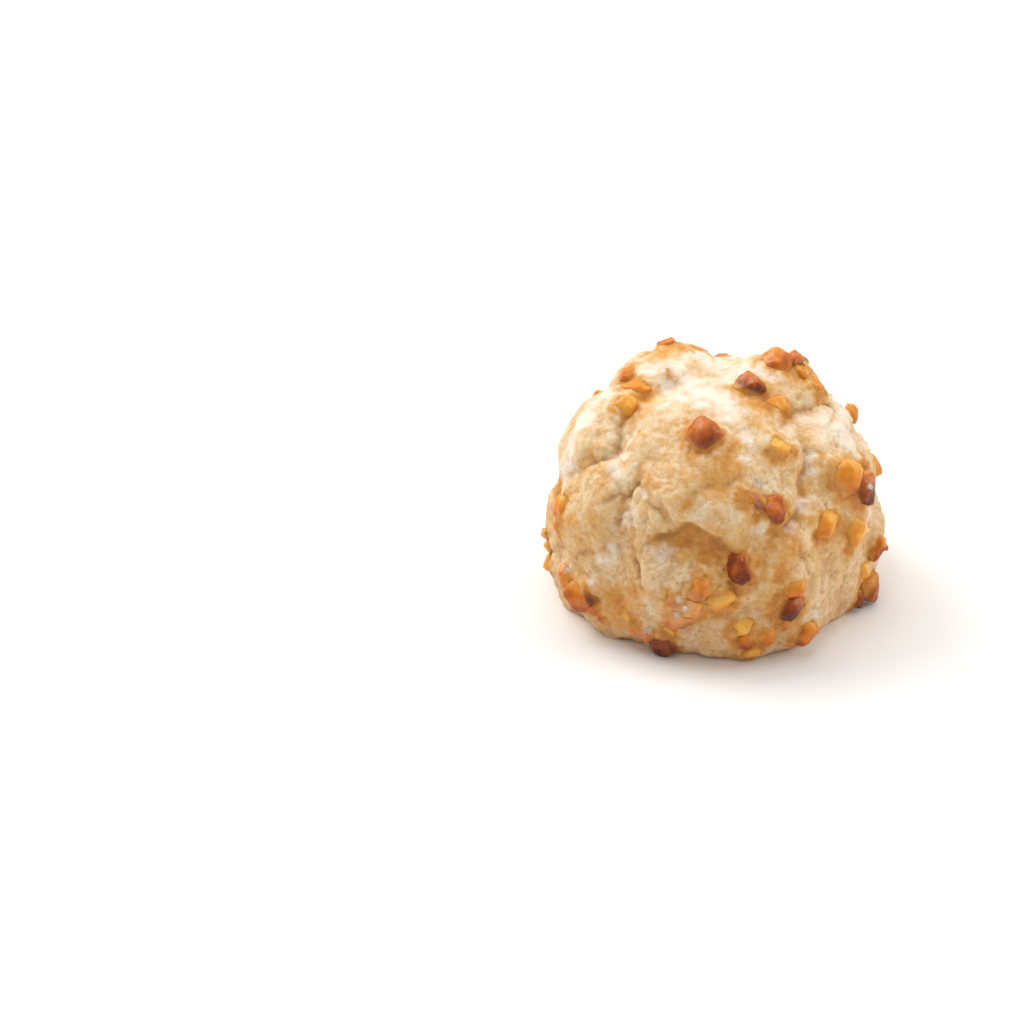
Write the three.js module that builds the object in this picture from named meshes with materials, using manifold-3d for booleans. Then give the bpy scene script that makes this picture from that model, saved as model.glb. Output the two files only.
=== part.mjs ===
// Choux bun: one puffed, lobed piece of baked choux dough, flat underneath,
// with chopped nuts baked into its crust. Millimetres, +Z up, the front of the bun at -Y.
// The origin lies on the resting face, under the middle of the bun.
import * as THREE from "three";
import { mergeVertices } from "three/addons/utils/BufferGeometryUtils.js";
import Module from "manifold-3d";

// Driving dimensions of the dough
const CORE_RADIUS = 30.3; // the ball of dough that the lobes swell out of
const CORE_HEIGHT = 15; // its centre above the tray: the bun spreads widest low down
const LOBE_BLEND = 0.7; // rounding of the creases between lobes
const SKIN_DETAIL = 17; // subdivisions of the skin, about 2 mm to an edge

// Each lobe is a ball that stands out of the core by its rise. Azimuth 0 is the front, 90 the right.
const LOBES = [
  { name: "core", azimuth: 0, elevation: 90, rise: 0, radius: CORE_RADIUS },
  { name: "crown", azimuth: -4, elevation: 56, rise: 2.7, radius: 22 },
  { name: "left shoulder", azimuth: -128, elevation: 63, rise: 4.1, radius: 13.5 },
  { name: "right shoulder", azimuth: 110, elevation: 66, rise: 3.7, radius: 12.2 },
  { name: "left egg", azimuth: -86, elevation: 40, rise: 4.3, radius: 15 },
  { name: "left cheek", azimuth: -59, elevation: 20, rise: 3.0, radius: 15 },
  { name: "left skirt", azimuth: -52, elevation: -17, rise: 2.2, radius: 14 },
  { name: "left foot", azimuth: -77, elevation: -22, rise: 2.9, radius: 12 },
  { name: "left side", azimuth: -92, elevation: -4, rise: 1.9, radius: 14 },
  { name: "belly", azimuth: -13, elevation: 4, rise: 2.3, radius: 14 },
  { name: "front skirt", azimuth: 12, elevation: -20, rise: 2.2, radius: 15 },
  { name: "right belly", azimuth: 24, elevation: 4, rise: 2.1, radius: 14 },
  { name: "right cheek", azimuth: 74, elevation: 31, rise: 3.5, radius: 16 },
  { name: "right skirt", azimuth: 32, elevation: -14, rise: 2.2, radius: 14 },
  { name: "right side", azimuth: 92, elevation: -9, rise: 2.0, radius: 14 },
  { name: "back crown", azimuth: 176, elevation: 30, rise: 1.6, radius: 18 },
  { name: "back right", azimuth: 135, elevation: 15, rise: 2.2, radius: 17 },
  { name: "back left", azimuth: -140, elevation: 12, rise: 2.2, radius: 17 },
  { name: "back skirt", azimuth: 178, elevation: -8, rise: 1.8, radius: 15 },
];

// The photograph looks down at the front, and these place a pixel of it on the skin.
const VIEW_ELEVATION = 30;
const PIXELS_PER_MM = 5.227;
const CORE_PIXEL = { x: 715, y: 518 };
const PIXEL_PASSES = 8; // rounds in which a pixel's place settles on the skin

// Creases of the front, by the pixels they run through. On the left and on the right of its run
// the skin swells to a height in mm, at a distance in mm, and the crease itself is torn to a depth.
const CREASES = [
  {
    name: "egg side",
    left: [1.0, 4.0],
    right: [1.2, 3.5],
    tear: 0.4,
    pixels: [[648, 394], [632, 414], [622, 430], [618, 447], [615, 468]],
  },
  {
    name: "egg foot",
    left: [0.7, 3.0],
    right: [0.9, 3.0],
    tear: 0.25,
    pixels: [[578, 468], [588, 459], [600, 463], [611, 459], [617, 448]],
  },
  {
    name: "left crack",
    left: [0.5, 2.0],
    right: [0.7, 3.0],
    tear: 0.7,
    pixels: [[642, 462], [637, 487], [627, 502], [620, 518], [611, 536]],
  },
  {
    name: "left branch",
    left: [0.6, 3.0],
    right: [0.2, 2.0],
    tear: 0.4,
    pixels: [[632, 484], [650, 492], [660, 504], [668, 515], [680, 524]],
  },
  {
    name: "ledge",
    left: [1.7, 3.5],
    right: [-1.2, 3.5],
    tear: 0.9,
    pixels: [[640, 543], [655, 536], [672, 532], [690, 526], [706, 536], [724, 545], [752, 558]],
  },
  {
    name: "chin fold",
    left: [1.0, 2.5],
    right: [0.4, 2.0],
    tear: 0.5,
    pixels: [[626, 538], [635, 553], [640, 570], [641, 594]],
  },
  {
    name: "right seam",
    left: [0.9, 2.5],
    right: [0.7, 3.0],
    tear: 0.45,
    pixels: [[800, 430], [801, 455], [798, 480], [800, 500], [788, 520], [770, 536], [748, 554]],
  },
  {
    name: "shoulder fold",
    left: [0.6, 3.0],
    right: [0.7, 3.5],
    tear: 0.3,
    pixels: [[768, 444], [780, 424], [790, 413], [806, 414], [823, 411], [833, 421], [850, 436]],
  },
  {
    name: "brow",
    left: [0.5, 3.0],
    right: [0.5, 3.0],
    tear: 0.3,
    pixels: [[682, 504], [697, 492], [712, 486], [728, 483], [748, 474]],
  },
];
const TEAR_WIDTH = 1.2; // half the width of a tear in mm
const CREASE_ENDS = 0.2; // share of a crease over which it fades at each end
const BACK_TURN = 168; // the back is creased like the front, turned round by this angle

// Chopped nuts that the front shows: the pixel of the middle, the length and the width in mm, and
// the turn of the length in the view in degrees.
const FRONT_NUTS = [
  [667, 347, 4.0, 2.8, -8], [629, 374, 5.0, 3.2, 22], [634, 391, 6.2, 4.0, 18], [626, 407, 4.4, 3.8, 55],
  [591, 386, 3.2, 2.6, 45], [702, 437, 6.4, 6.2, 60], [747, 390, 5.4, 4.8, -48], [774, 408, 4.4, 3.7, 15],
  [776, 365, 5.8, 5.6, -20], [794, 363, 5.0, 4.4, -40], [800, 374, 4.2, 3.6, 60], [813, 386, 4.2, 3.4, -45],
  [853, 413, 3.9, 2.8, 75], [775, 449, 4.6, 4.0, 30], [876, 463, 5.0, 3.4, -70], [845, 477, 6.4, 6.0, 70],
  [858, 489, 6.4, 5.7, 60], [860, 462, 2.4, 2.0, 0], [748, 501, 6.2, 3.1, -35], [772, 512, 5.8, 4.9, 70],
  [821, 522, 5.8, 5.4, 80], [850, 531, 6.2, 5.8, 60], [874, 546, 4.8, 4.2, 30], [859, 570, 4.4, 3.2, 20],
  [870, 590, 6.0, 5.0, 75], [854, 597, 4.2, 3.6, 45], [738, 568, 7.6, 5.2, 80], [699, 352, 3.0, 1.6, -15],
  [699, 589, 5.6, 4.6, 20], [679, 600, 5.0, 4.2, -30], [678, 617, 5.6, 4.3, -15], [693, 607, 4.2, 3.7, 60],
  [720, 599, 5.4, 4.0, 25], [791, 587, 4.2, 4.0, 0], [785, 604, 5.6, 5.4, 60], [802, 631, 5.0, 4.6, 60],
  [737, 625, 5.2, 3.2, 15], [741, 639, 4.2, 3.2, 30], [763, 633, 5.0, 3.8, 70], [749, 649, 4.2, 3.0, 20],
  [778, 621, 2.4, 2.2, 0], [563, 508, 4.8, 4.0, 70], [560, 527, 3.8, 3.0, -60], [546, 534, 2.4, 1.9, 90],
  [550, 547, 2.8, 2.5, 45], [550, 563, 3.2, 2.3, 80], [561, 484, 2.6, 1.8, 80], [570, 496, 2.4, 2.0, 60],
  [569, 577, 5.0, 4.4, -70], [580, 596, 6.2, 5.2, -60], [590, 593, 4.4, 2.4, -70], [600, 611, 3.8, 3.2, -60],
  [627, 612, 3.0, 2.6, 45], [645, 628, 5.2, 4.4, -40], [665, 640, 5.2, 4.9, 60], [667, 627, 3.4, 2.0, -40],
];

// Nuts of the rim and the back follow a rule: a spiral of even spacing with seeded scatter.
const SPIRAL_NUTS = 170;
const SPIRAL_LOWEST = -0.45; // sine of the elevation where the spiral ends, at the tray
const SPIRAL_SCATTER = 16; // degrees of scatter, each way
const SPIRAL_LENGTHS = { least: 3.0, most: 6.2 };
const SPIRAL_BEHIND = 0.045; // radii that a spiral nut keeps behind the rim, for each mm of its length
const NUT_SPACING = 4.2; // least distance between the middles of two nuts
const SPIRAL_WIDTHS = { least: 0.6, most: 0.92 }; // of the length
const NUT_HEIGHT = 0.86; // of the width
const NUT_STANDING = 0.03; // the middle of a nut stands over the skin by this share of its width
const RIM_STANDING = 0.3; // and by up to this share where its pixel lies beside the skin
const NUT_TILT = 18; // degrees that a nut may lean, each way
const NUT_CORNERS = { least: 0.9, most: 1.12 }; // how far a corner of a lump stands out

const radians = THREE.MathUtils.degToRad;
const degrees = THREE.MathUtils.radToDeg;
const UP = new THREE.Vector3(0, 0, 1);
const CORE_CENTRE = UP.clone().multiplyScalar(CORE_HEIGHT);
const VIEWER = way(0, VIEW_ELEVATION);
const VIEW_UP = way(180, 90 - VIEW_ELEVATION);

// Unit direction at an azimuth and an elevation.
function way(azimuth, elevation) {
  const level = Math.cos(radians(elevation));
  const turn = radians(azimuth);
  return new THREE.Vector3(
    Math.sin(turn) * level,
    -Math.cos(turn) * level,
    Math.sin(radians(elevation)),
  );
}

// A seeded draw from 0 to 1, the same for the same number.
function draw(number) {
  const wave = Math.sin(number * 12.9898) * 43758.5453;
  return wave - Math.floor(wave);
}

function drawBetween(number, range) {
  return range.least + (range.most - range.least) * draw(number);
}

// A seeded angle in radians, up to a limit in degrees each way.
function drawLean(number, limit) {
  return radians(limit) * (2 * draw(number) - 1);
}

const balls = LOBES.map(({ azimuth, elevation, rise, radius }) => ({
  centre: way(azimuth, elevation).multiplyScalar(CORE_RADIUS + rise - radius),
  radius,
}));

// How far the lobes reach from the core's centre in a direction: the furthest ball, blended
// with its neighbours.
function lobeReach(out) {
  let sum = 0;
  for (const { centre, radius } of balls) {
    const along = out.dot(centre);
    const half = along * along - centre.lengthSq() + radius * radius;
    if (half > 0) {
      sum += Math.exp((along + Math.sqrt(half) - CORE_RADIUS) / LOBE_BLEND);
    }
  }
  return CORE_RADIUS + LOBE_BLEND * Math.log(sum);
}

// Direction from the core's centre to the skin that a pixel shows.
function wayAtPixel(x, y, reachOf) {
  const across = (x - CORE_PIXEL.x) / PIXELS_PER_MM;
  const rise = (CORE_PIXEL.y - y) / PIXELS_PER_MM;
  const out = new THREE.Vector3();
  let reach = CORE_RADIUS;
  for (let pass = 0; pass < PIXEL_PASSES; pass++) {
    const near = Math.sqrt(Math.max(reach * reach - across * across - rise * rise, 0));
    out.set(across, 0, 0).addScaledVector(VIEW_UP, rise).addScaledVector(VIEWER, near).normalize();
    reach = reachOf(out);
  }
  return out;
}

// The creases laid on the core, front and back, as straight runs between their pixels.
const layings = [];
for (const crease of CREASES) {
  const front = crease.pixels.map(([x, y]) => wayAtPixel(x, y, lobeReach).multiplyScalar(CORE_RADIUS));
  const back = front.map((spot) => spot.clone().applyAxisAngle(UP, radians(BACK_TURN)));
  layings.push({ ...crease, spots: front });
  layings.push({ ...crease, spots: back });
}

// Height of a fold's side: none at the crease, most at its distance, and fading beyond.
function swelling(away, [height, distance]) {
  return ((height * away) / distance) * Math.exp(1 - away / distance);
}

// Where a spot lies beside a crease: how far away, on which side, and how much of the crease is left.
function besideCrease(spot, spots) {
  const run = new THREE.Line3();
  const nearest = new THREE.Vector3();
  const offset = new THREE.Vector3();
  const heading = new THREE.Vector3();
  const beside = { away: Infinity, leftward: false, strength: 0 };
  for (let i = 1; i < spots.length; i++) {
    run.set(spots[i - 1], spots[i]);
    const share = run.closestPointToPointParameter(spot, true);
    offset.subVectors(spot, run.at(share, nearest));
    if (offset.length() < beside.away) {
      const along = (i - 1 + share) / (spots.length - 1);
      beside.away = offset.length();
      beside.leftward = run.delta(heading).cross(offset).dot(spot) > 0;
      beside.strength = Math.min(Math.min(along, 1 - along) / CREASE_ENDS, 1);
    }
  }
  return beside;
}

// How far the skin lies from the core's centre in a direction.
function skinReach(out) {
  const spot = out.clone().multiplyScalar(CORE_RADIUS);
  let folds = 0;
  let cut = 0;
  for (const { left, right, tear, spots } of layings) {
    const { away, leftward, strength } = besideCrease(spot, spots);
    folds += strength * swelling(away, leftward ? left : right);
    cut = Math.max(cut, strength * tear * Math.exp(-((away / TEAR_WIDTH) ** 2)));
  }
  return lobeReach(out) + folds - cut;
}

// Puffed dough: a ball whose points are drawn out to the skin.
function doughGeometry() {
  const dough = new THREE.IcosahedronGeometry(1, SKIN_DETAIL);
  const points = dough.getAttribute("position");
  const out = new THREE.Vector3();
  for (let i = 0; i < points.count; i++) {
    out.fromBufferAttribute(points, i).normalize();
    const spot = out.clone().multiplyScalar(skinReach(out)).add(CORE_CENTRE);
    points.setXYZ(i, spot.x, spot.y, spot.z);
  }
  return dough;
}

// One chopped nut: an uneven lump of twenty faces, half sunk in the skin. It faces one way, and its
// length lies along another.
function nutGeometry({ out, face, along, length, width, beside, seed }) {
  const lump = new THREE.IcosahedronGeometry(0.5, 0);
  lump.deleteAttribute("normal");
  lump.deleteAttribute("uv");
  const nut = mergeVertices(lump, 1e-4);
  const corners = nut.getAttribute("position");
  const corner = new THREE.Vector3();
  for (let i = 0; i < corners.count; i++) {
    corner.fromBufferAttribute(corners, i);
    corner.multiplyScalar(drawBetween(seed + 0.37 * i, NUT_CORNERS));
    corners.setXYZ(i, corner.x, corner.y, corner.z);
  }
  nut.scale(length, width, NUT_HEIGHT * width);
  nut.rotateX(drawLean(seed + 0.41, NUT_TILT));
  nut.rotateY(drawLean(seed + 0.47, NUT_TILT));
  const across = face.clone().cross(along).normalize();
  const lengthways = across.clone().cross(face);
  nut.applyMatrix4(new THREE.Matrix4().makeBasis(lengthways, across, face));
  const standing = NUT_STANDING * width + Math.min(beside, RIM_STANDING * width);
  const seat = out.clone().multiplyScalar(skinReach(out) + standing).add(CORE_CENTRE);
  nut.translate(seat.x, seat.y, seat.z);
  return nut;
}

// The nuts of the front, each turned half towards the viewer.
const nuts = FRONT_NUTS.map(([x, y, length, width, turn], i) => {
  const out = wayAtPixel(x, y, skinReach);
  const face = out.clone().add(VIEWER).normalize();
  const along = new THREE.Vector3(Math.cos(radians(turn)), 0, 0);
  along.addScaledVector(VIEW_UP, Math.sin(radians(turn)));
  const off = Math.hypot(x - CORE_PIXEL.x, y - CORE_PIXEL.y) / PIXELS_PER_MM;
  const beside = Math.max(off - skinReach(out), 0);
  return { out, face, along, length, width, beside, seed: i + 1 };
});

// The nuts of the spiral that keep clear of the others.
const GOLDEN_TURN = 180 * (3 - Math.sqrt(5));
const FIRST_SPIRAL_SEED = 100;
for (let i = 0; i < SPIRAL_NUTS; i++) {
  const seed = FIRST_SPIRAL_SEED + i;
  const height = THREE.MathUtils.lerp(1, SPIRAL_LOWEST, (i + 0.5) / SPIRAL_NUTS);
  const elevation = degrees(Math.asin(height) + drawLean(seed, SPIRAL_SCATTER));
  const azimuth = i * GOLDEN_TURN + degrees(drawLean(seed + 0.71, SPIRAL_SCATTER));
  const out = way(azimuth, elevation);
  const length = drawBetween(seed + 0.83, SPIRAL_LENGTHS);
  const width = length * drawBetween(seed + 0.11, SPIRAL_WIDTHS);
  const along = way(360 * draw(seed + 0.53), 180 * draw(seed + 0.59) - 90);
  const clear = nuts.every((nut) => nut.out.distanceTo(out) * CORE_RADIUS > NUT_SPACING);
  if (out.dot(VIEWER) < -SPIRAL_BEHIND * length && clear) {
    nuts.push({ out, face: out, along, length, width, beside: 0, seed });
  }
}

const wasm = await Module();
wasm.setup();

function solidOf(geometry) {
  geometry.deleteAttribute("normal");
  geometry.deleteAttribute("uv");
  const closed = mergeVertices(geometry, 1e-4);
  return new wasm.Manifold(
    new wasm.Mesh({
      numProp: 3,
      vertProperties: closed.getAttribute("position").array,
      triVerts: new Uint32Array(closed.index.array),
    }),
  );
}

// The bun: dough and nuts in one piece, cut flat where it sat on the tray.
let bun = solidOf(doughGeometry());
for (const nut of nuts) {
  bun = bun.add(solidOf(nutGeometry(nut)));
}
const belowTray = new THREE.BoxGeometry(4 * CORE_RADIUS, 4 * CORE_RADIUS, 2 * CORE_RADIUS);
belowTray.translate(0, 0, -CORE_RADIUS);
bun = bun.subtract(solidOf(belowTray));

// A pocket closed in between two nuts is filled: only the outer body stays.
const outer = bun.decompose().reduce((most, body) => (body.volume() > most.volume() ? body : most));

const made = outer.getMesh();
const geometry = new THREE.BufferGeometry();
geometry.setAttribute("position", new THREE.BufferAttribute(made.vertProperties, 3));
geometry.setIndex(new THREE.BufferAttribute(made.triVerts, 1));
geometry.computeVertexNormals();
const crust = new THREE.MeshStandardMaterial({ color: "#d9b583", roughness: 0.75, metalness: 0 });
const mesh = new THREE.Mesh(geometry, crust);
mesh.name = "bun";

const part = new THREE.Group();
part.name = "choux_bun";
part.add(mesh);

export default part;
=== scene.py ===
import math

import bpy
import numpy as np
from mathutils import Matrix, Vector, noise


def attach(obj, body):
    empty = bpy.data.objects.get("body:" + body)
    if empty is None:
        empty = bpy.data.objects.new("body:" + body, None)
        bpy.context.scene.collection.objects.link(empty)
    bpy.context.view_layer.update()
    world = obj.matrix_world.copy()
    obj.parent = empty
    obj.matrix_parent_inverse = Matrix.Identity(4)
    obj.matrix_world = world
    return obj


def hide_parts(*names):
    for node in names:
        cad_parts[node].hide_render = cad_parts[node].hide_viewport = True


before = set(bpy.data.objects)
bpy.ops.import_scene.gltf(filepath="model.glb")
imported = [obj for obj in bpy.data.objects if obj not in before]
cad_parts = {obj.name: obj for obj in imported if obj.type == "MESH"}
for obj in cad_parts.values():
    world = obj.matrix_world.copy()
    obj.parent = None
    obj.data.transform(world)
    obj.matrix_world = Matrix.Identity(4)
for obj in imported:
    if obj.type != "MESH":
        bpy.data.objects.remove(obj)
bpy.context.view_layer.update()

# Dough: choux paste piped as one round on a tray. Steam blows it up in the oven into uneven puffs, and
# the skin sets with creases between the puffs and cracks where the inside goes on rising.
# It is modelled as balls that run into each other, in the same places as in the solid.
MM = 0.001
CORE_RADIUS = 30.3 * MM
CORE_CENTRE = Vector((0, 0, 15 * MM))
SKIN_EDGE = 0.388 * MM
BLEND_ROUNDS = 12
FOLD_ROUNDS = 5

# Each puff: azimuth (0 is the front, 90 the right) and elevation in degrees, rise over the core and radius
# in mm.
PUFFS = {
    "core": (0, 90, 0, 30.3),
    "crown": (-4, 56, 2.7, 22),
    "left shoulder": (-128, 63, 4.1, 13.5),
    "right shoulder": (110, 66, 3.7, 12.2),
    "left egg": (-86, 40, 4.3, 15),
    "left cheek": (-59, 20, 3.0, 15),
    "left skirt": (-52, -17, 2.2, 14),
    "left foot": (-77, -22, 2.9, 12),
    "left side": (-92, -4, 1.9, 14),
    "belly": (-13, 4, 2.3, 14),
    "front skirt": (12, -20, 2.2, 15),
    "right belly": (24, 4, 2.1, 14),
    "right cheek": (74, 31, 3.5, 16),
    "right skirt": (32, -14, 2.2, 14),
    "right side": (92, -9, 2.0, 14),
    "back crown": (176, 30, 1.6, 18),
    "back right": (135, 15, 2.2, 17),
    "back left": (-140, 12, 2.2, 17),
    "back skirt": (178, -8, 1.8, 15),
}


def way(azimuth, elevation):
    """Unit direction at an azimuth and an elevation in degrees."""
    turn = math.radians(azimuth)
    lift = math.radians(elevation)
    return Vector((math.sin(turn) * math.cos(lift), -math.cos(turn) * math.cos(lift), math.sin(lift)))


def apply_modifier(piece, kind, **settings):
    """Adds a modifier with its settings to a piece and applies it."""
    bpy.context.view_layer.objects.active = piece
    modifier = piece.modifiers.new(kind, kind)
    for name, value in settings.items():
        setattr(modifier, name, value)
    bpy.ops.object.modifier_apply(modifier=modifier.name)


def join_pieces(pieces, name):
    """Joins pieces into one named piece whose place is in its mesh."""
    bpy.ops.object.select_all(action="DESELECT")
    for piece in pieces:
        piece.select_set(True)
    bpy.context.view_layer.objects.active = pieces[0]
    bpy.ops.object.join()
    joined = bpy.context.object
    bpy.ops.object.transform_apply(location=True, rotation=True, scale=True)
    joined.name = name
    return joined


bpy.ops.object.select_all(action="DESELECT")
puffs = []
for azimuth, elevation, rise, radius in PUFFS.values():
    centre = CORE_CENTRE + way(azimuth, elevation) * (CORE_RADIUS + (rise - radius) * MM)
    bpy.ops.mesh.primitive_ico_sphere_add(subdivisions=5, radius=radius * MM, location=centre)
    puffs.append(bpy.context.object)
crust = join_pieces(puffs, "crust")
apply_modifier(crust, "REMESH", mode="VOXEL", voxel_size=SKIN_EDGE)
apply_modifier(crust, "SMOOTH", factor=0.5, iterations=BLEND_ROUNDS)


def skin_points(piece):
    """The points of a piece as an array."""
    flat = np.empty(3 * len(piece.data.vertices))
    piece.data.vertices.foreach_get("co", flat)
    return flat.reshape(-1, 3)


def skin_normals(piece):
    """The directions that the points of a piece face, as an array."""
    flat = np.empty(3 * len(piece.data.vertices))
    piece.data.vertex_normals.foreach_get("vector", flat)
    return flat.reshape(-1, 3)


def push_out(piece, heights):
    """Moves each point of a piece along its normal, by a height in metres."""
    moved = skin_points(piece) + skin_normals(piece) * heights[:, None]
    piece.data.vertices.foreach_set("co", moved.ravel())
    piece.data.update()


GRAIN_TURN = Matrix.Rotation(math.radians(38), 3, Vector((0.6, 0.5, 0.62)))


def uneven(points, size, octaves=1, folded=False):
    """Smooth noise of a real size at each point, about -1 to 1, or 0 at folds to 1 between them."""
    turned = points @ np.array(GRAIN_TURN) / size
    if folded:
        return np.array([noise.turbulence(Vector(point), octaves, True) for point in turned])
    return np.array([noise.fractal(Vector(point), 1.0, 2.0, octaves) for point in turned])


def straying(points, reach, size, octaves=1):
    """Points moved to and fro by noise of a real size, up to about a reach."""
    shifts = [uneven(points + apart, size, octaves) for apart in (0, 0.1, 0.2)]
    return points + reach * np.stack(shifts, axis=1)


# The puffs are never round: low lumps all over, and billows and ripples with folds between them, half as
# high on the top, where the skin is stretched most.
LUMP_HEIGHT = 0.7 * MM
BILLOW_HEIGHT = 1.0 * MM
RIPPLE_HEIGHT = 0.45 * MM
MEAN_FOLD = 0.35
STRETCHED_FROM = 20 * MM
STRETCHED_TO = 40 * MM
points = skin_points(crust)
lumps = LUMP_HEIGHT * uneven(points, 9 * MM, 2)
bent = straying(points, 1.6 * MM, 6 * MM)
billows = BILLOW_HEIGHT * (uneven(bent, 7 * MM, 2, folded=True) - MEAN_FOLD)
bent = straying(points, 0.8 * MM, 6 * MM)
ripples = RIPPLE_HEIGHT * (uneven(bent, 3.2 * MM, 2, folded=True) - MEAN_FOLD)
calm = 0.5 + 0.5 * np.clip((STRETCHED_TO - points[:, 2]) / (STRETCHED_TO - STRETCHED_FROM), 0, 1)
push_out(crust, lumps + calm * (billows + ripples))

# Creases: where two puffs meet or the set skin tears, it swells in a fold on each side of a soft crease,
# which is painted brown as painted shade. A pixel of the photograph is laid on the skin along the direction
# that it looks in.
VIEW_ELEVATION = 30
PIXELS_PER_MM = 5.227
CORE_PIXEL = (715, 518)
TO_VIEWER = way(0, VIEW_ELEVATION)
VIEW_UP = way(180, 90 - VIEW_ELEVATION)
VIEW_RIGHT = Vector((1, 0, 0))
CREASE_WANDER = 0.8 * MM
CREASE_ENDS = 0.2
TEAR_WIDTH = 0.8

# Each crease: how far the skin swells in mm and at what distance in mm, to the left of its run and to the
# right, the depth of its tear in mm, and the pixels that it runs through.
CREASES = {
    "egg side": ((1.0, 4.0), (1.2, 3.5), 0.4,
                 [(648, 394), (632, 414), (622, 430), (618, 447), (615, 468)]),
    "egg foot": ((0.7, 3.0), (0.9, 3.0), 0.25,
                 [(578, 468), (588, 459), (600, 463), (611, 459), (617, 448)]),
    "left crack": ((0.5, 2.0), (0.7, 3.0), 0.7,
                   [(642, 462), (637, 487), (627, 502), (620, 518), (611, 536)]),
    "left notch": ((0.3, 1.5), (0.3, 1.5), 0.5, [(624, 490), (614, 501), (606, 508)]),
    "left branch": ((0.6, 3.0), (0.2, 2.0), 0.4,
                    [(632, 484), (650, 492), (660, 504), (668, 515), (680, 524)]),
    "ledge": ((1.7, 3.5), (-1.2, 3.5), 0.9,
              [(640, 543), (655, 536), (672, 532), (690, 526), (706, 536), (724, 545), (752, 558)]),
    "chin fold": ((1.0, 2.5), (0.4, 2.0), 0.5, [(626, 538), (635, 553), (640, 570), (641, 594)]),
    "right seam": ((0.9, 2.5), (0.7, 3.0), 0.45,
                   [(800, 430), (801, 455), (798, 480), (800, 500), (788, 520), (770, 536), (748, 554)]),
    "shoulder fold": ((0.6, 3.0), (0.7, 3.5), 0.3,
                      [(768, 444), (780, 424), (790, 413), (806, 414), (823, 411), (833, 421), (850, 436)]),
    "brow": ((0.5, 3.0), (0.5, 3.0), 0.3, [(682, 504), (697, 492), (712, 486), (728, 483), (748, 474)]),
    "right wrinkle": ((0.4, 2.0), (0.4, 2.0), 0.4, [(781, 532), (797, 556), (808, 580)]),
    "low fold": ((0.5, 2.5), (0.4, 2.5), 0.3, [(560, 548), (590, 549), (618, 540)]),
}
BACK_TURN = 168


def aim_at_pixel(x, y):
    """Where a pixel looks, in the plane of the core's centre."""
    across = (x - CORE_PIXEL[0]) / PIXELS_PER_MM * MM
    rise = (CORE_PIXEL[1] - y) / PIXELS_PER_MM * MM
    return CORE_CENTRE + VIEW_RIGHT * across + VIEW_UP * rise


def spot_at_pixel(x, y):
    """Place and normal of the skin that a pixel shows, or of the rim next to a pixel beside it."""
    aim = aim_at_pixel(x, y)
    hit, place, normal, _ = crust.ray_cast(aim + TO_VIEWER * 4 * CORE_RADIUS, -TO_VIEWER)
    if not hit:
        _, place, normal, _ = crust.closest_point_on_mesh(aim)
    return place, normal


def spot_towards(out):
    """Place and normal of the skin in a direction from the core."""
    _, place, normal, _ = crust.ray_cast(CORE_CENTRE + out * 2 * CORE_RADIUS, -out)
    return place, normal


def front_and_back(pixels):
    """Places on the front that pixels show, and the same ones turned round to the back."""
    turned = Matrix.Rotation(math.radians(BACK_TURN), 4, "Z")
    front = [spot_at_pixel(x, y)[0] for x, y in pixels]
    return front, [spot_towards((turned @ spot - CORE_CENTRE).normalized())[0] for spot in front]


def swelling(far, height, distance):
    """Height of a fold's side: none at the crease, most at its distance, and fading beyond."""
    return height * far / distance * np.exp(1 - far / distance)


points = skin_points(crust)
outward = points - np.array(CORE_CENTRE)
strayed = straying(points, CREASE_WANDER, 4 * MM, 3)
broken = 0.75 + 0.5 * uneven(points, 5 * MM, 2)
folds = np.zeros(len(points))
tears = np.zeros(len(points))
for left, right, depth, pixels in CREASES.values():
    for spots in front_and_back(pixels):
        nearest = np.full(len(points), np.inf)
        leftward = np.zeros(len(points), bool)
        along = np.zeros(len(points))
        for index, (start, end) in enumerate(zip(spots, spots[1:])):
            run = np.array(end - start)
            share = np.clip((strayed - np.array(start)) @ run / (run @ run), 0, 1)
            away = strayed - np.array(start) - share[:, None] * run
            far = np.linalg.norm(away, axis=1) / MM
            closer = far < nearest
            nearest = np.where(closer, far, nearest)
            leftward = np.where(closer, (np.cross(run, away) * outward).sum(axis=1) > 0, leftward)
            along = np.where(closer, (index + share) / (len(spots) - 1), along)
        taper = np.clip(np.minimum(along, 1 - along) / CREASE_ENDS, 0, 1)
        folds += taper * np.where(leftward, swelling(nearest, *left), swelling(nearest, *right))
        tears = np.maximum(tears, depth * taper * broken * np.exp(-((nearest / TEAR_WIDTH) ** 2)))
push_out(crust, MM * (folds - tears))
apply_modifier(crust, "SMOOTH", factor=0.5, iterations=FOLD_ROUNDS)


def keep_attribute(piece, name, values):
    """Keeps one value for each point of a piece, for its material."""
    piece.data.attributes.new(name, "FLOAT", "POINT").data.foreach_set("value", values)


# The tears are painted brown in the material: painted shade in the creases.
keep_attribute(crust, "crack", np.clip(0.9 * tears, 0, 0.8))

# Chopped nuts: roasted nibs from a pale, waxy inside to dark browned ends, chopped to broken faces with
# blunt edges. They are pressed into the wet dough and bake into the skin.
# They lie where the solid has them, and two small chips lie between them.
PALE_STANDING = -0.10
DARK_STANDING = 0.08
RIM_STANDING = 0.3
NUT_TILT = 18
NUT_SPACING = 4.2 * MM

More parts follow.
